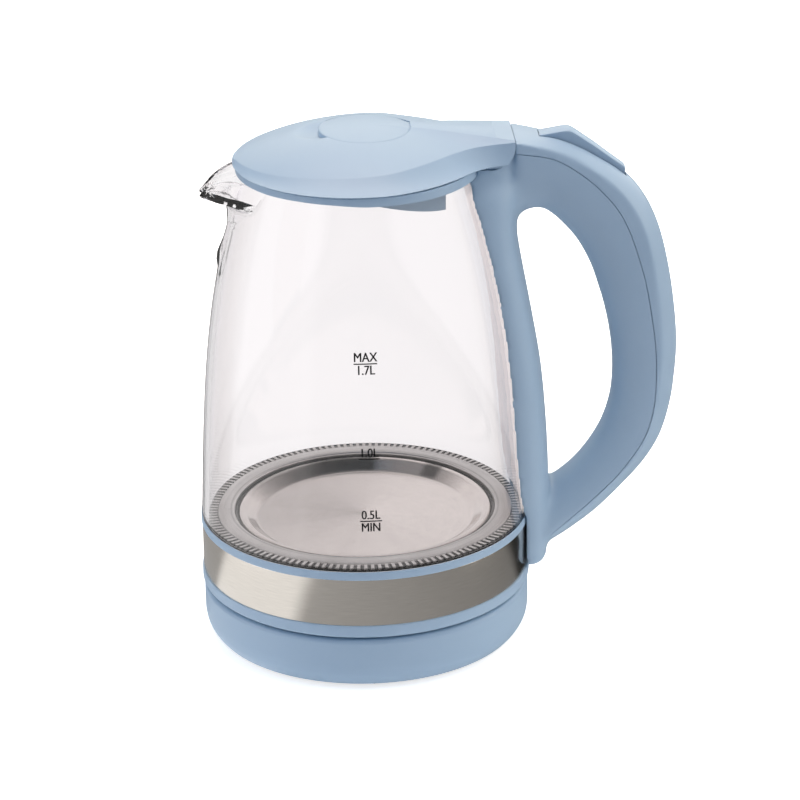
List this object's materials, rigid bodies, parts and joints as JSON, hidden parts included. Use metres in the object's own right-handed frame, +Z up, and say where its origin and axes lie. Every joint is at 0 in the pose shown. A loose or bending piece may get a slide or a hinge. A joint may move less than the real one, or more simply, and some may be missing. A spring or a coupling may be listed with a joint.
{
  "type": "electric kettle",
  "caption": "Cordless electric kettle: clear glass body with pulled spout, steel band, hinged plastic lid with finger scoop, loop handle with thumb switch, on a round power base",
  "frame": {"origin": "on the kettle's axis, at the surface that the power base stands on", "axes": "+Z up along the axis, +X towards the handle, -X towards the spout, +Y completes a right-handed frame"},
  "size_m": [0.2265, 0.1562, 0.2521],
  "materials": {
    "blue_plastic": "satin moulded polypropylene, pale grey blue",
    "dark_plastic": "fine matt, near black",
    "foot_rubber": "matt anti-slip rubber",
    "screw_steel": "zinc plated",
    "contact_brass": "bright contact brass",
    "band_steel": "brushed round the band",
    "clear_glass": "clear heat-resistant glass with black level marks",
    "grey_silicone": "silver grey ribbed seal",
    "plate_steel": "spun stainless steel",
    "cast_aluminium": "plain cast and drawn aluminium",
    "pale_plastic": "ivory technical plastic",
    "red_plastic": "moulded plunger"
  },
  "bodies": {
    "power_base": {"base_cover": "blue_plastic", "base_bottom": "dark_plastic", "base_feet": "foot_rubber", "base_screws": "screw_steel", "base_socket": "dark_plastic", "socket_contacts": "contact_brass", "cord_gland": "dark_plastic"},
    "connector": {"kettle_connector": "dark_plastic", "connector_contacts": "contact_brass"},
    "kettle": {"bottom_housing": "blue_plastic", "underside_cover": "dark_plastic", "underside_screws": "screw_steel", "steel_band": "band_steel", "glass_body": "clear_glass", "plate_gasket": "grey_silicone", "heating_plate": "plate_steel", "heat_spreader": "cast_aluminium", "heating_element": "cast_aluminium", "element_terminals": "contact_brass", "dry_boil_control": "pale_plastic", "connector_carrier": "pale_plastic", "neck_collar": "blue_plastic", "hinge_bracket": "screw_steel", "bracket_screws": "screw_steel", "hinge_pin": "screw_steel", "handle_body": "blue_plastic", "handle_cover": "blue_plastic", "cover_screws": "screw_steel", "foot_screw": "screw_steel", "lever_pin": "screw_steel", "switch_body": "pale_plastic", "steam_disc": "plate_steel", "steam_tube": "pale_plastic"},
    "lid": {"lid_cover": "blue_plastic", "lid_disc": "blue_plastic", "lid_base": "blue_plastic", "lid_seal": "grey_silicone", "lid_screws": "screw_steel"},
    "lever": {"switch_lever": "blue_plastic", "switch_plunger": "red_plastic"}
  },
  "joints": [
    {"name": "kettle_lift", "type": "slide", "parent": "power_base", "child": "connector", "axis": [0, 0, 1], "range_m": [0, 0.12]},
    {"name": "kettle_swivel", "type": "hinge", "parent": "connector", "child": "kettle", "pos_m": [0, 0, 0.04], "axis": [0, 0, 1], "continuous": true},
    {"name": "lid_hinge", "type": "hinge", "parent": "kettle", "child": "lid", "pos_m": [0.0608, 0, 0.2443], "axis": [0, 1, 0], "range_deg": [0, 78]},
    {"name": "switch_press", "type": "hinge", "parent": "kettle", "child": "lever", "pos_m": [0.088, 0, 0.233], "axis": [0, 1, 0], "range_deg": [0, 6], "stiffness_Nm_per_rad": 0.4, "springref_deg": -5.73}
  ]
}
